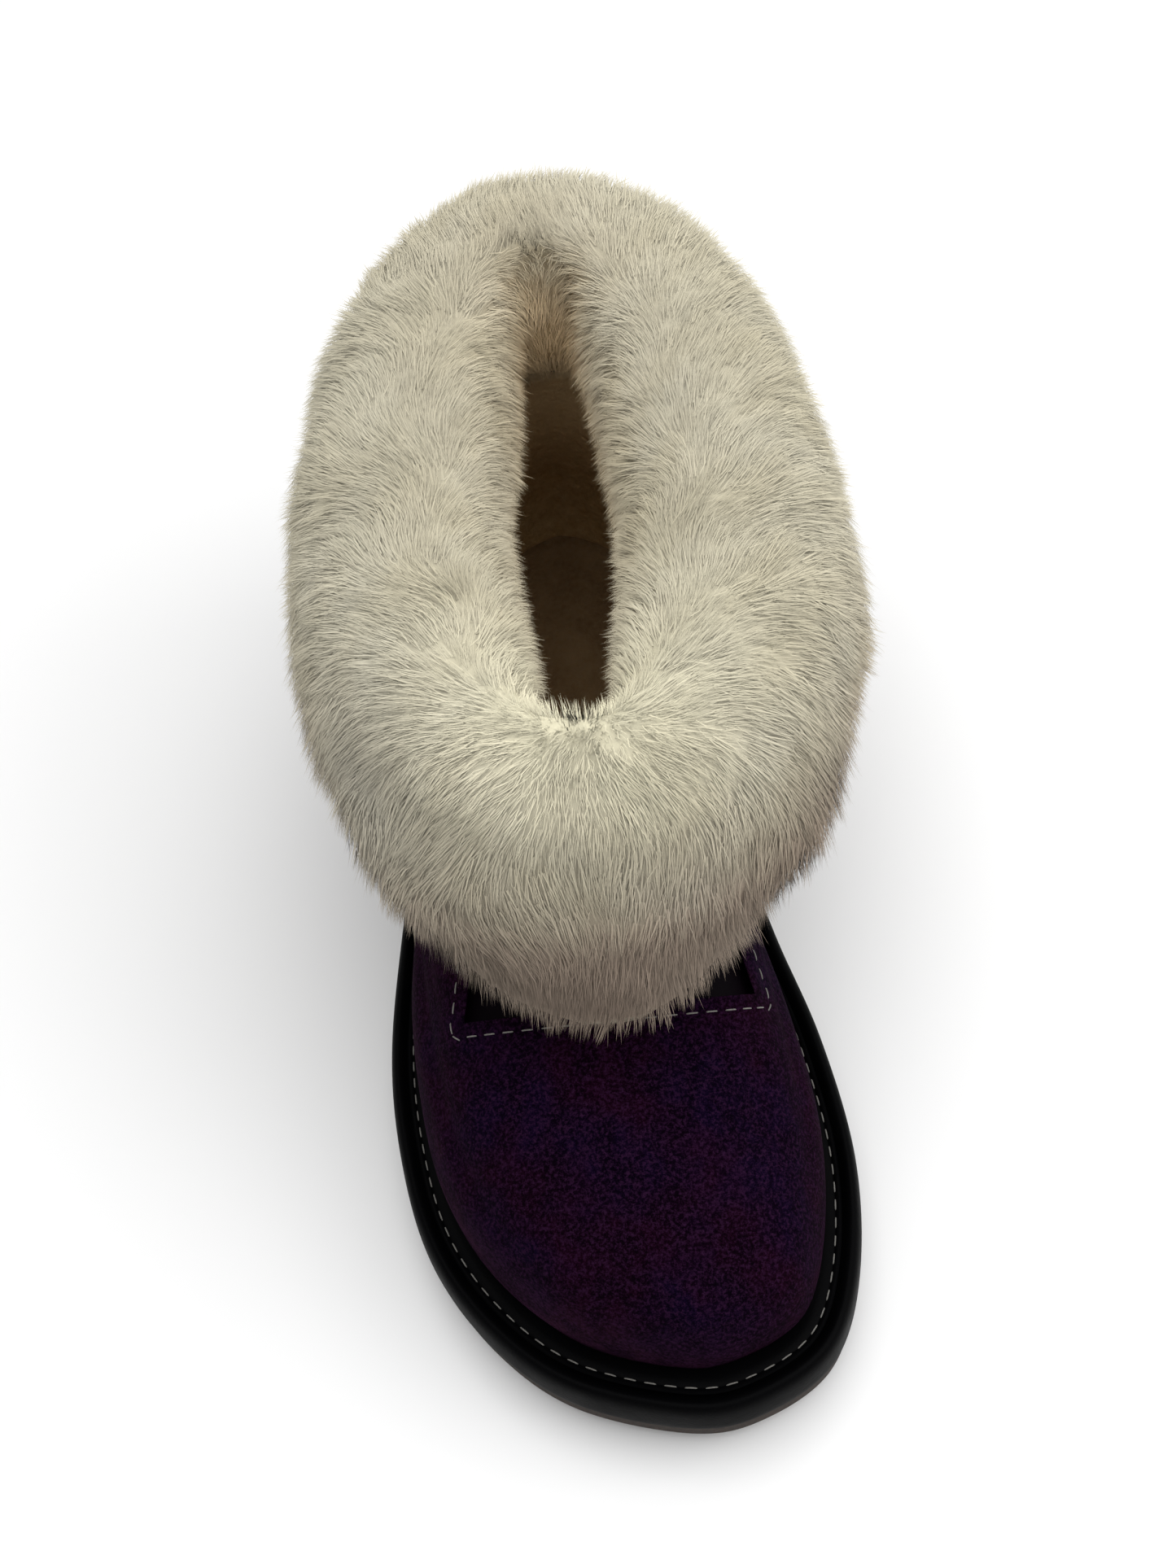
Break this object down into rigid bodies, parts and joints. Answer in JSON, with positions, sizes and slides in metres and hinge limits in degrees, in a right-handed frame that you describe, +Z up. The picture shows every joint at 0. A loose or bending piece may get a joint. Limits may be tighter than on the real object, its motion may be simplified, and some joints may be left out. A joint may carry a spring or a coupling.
{
  "type": "bootie slipper",
  "caption": "Ankle-high slipper with a suede upper, a stitched leather-wrapped platform sole and a folded deep-fleece cuff round a narrow opening.",
  "frame": {"origin": "on the floor under the middle of the heel, on the outsole's flat heel spot", "axes": "+Z up from the floor, -Y from the heel towards the toe, +X towards the big toe's side of the foot"},
  "size_m": [0.1294, 0.2694, 0.1329],
  "materials": {
    "brown_rubber": "matt",
    "black_leather": "smooth, soft shine",
    "insole_fleece": "short wool pile",
    "suede": "napped, matt",
    "tongue_leather": "smooth, satin",
    "wool": "deep wool pile"
  },
  "bodies": {
    "root": {"outsole": "brown_rubber", "midsole": "black_leather", "welt": "black_leather", "insole": "insole_fleece", "upper": "suede", "tongue": "tongue_leather", "cuff": "wool"}
  },
  "joints": []
}
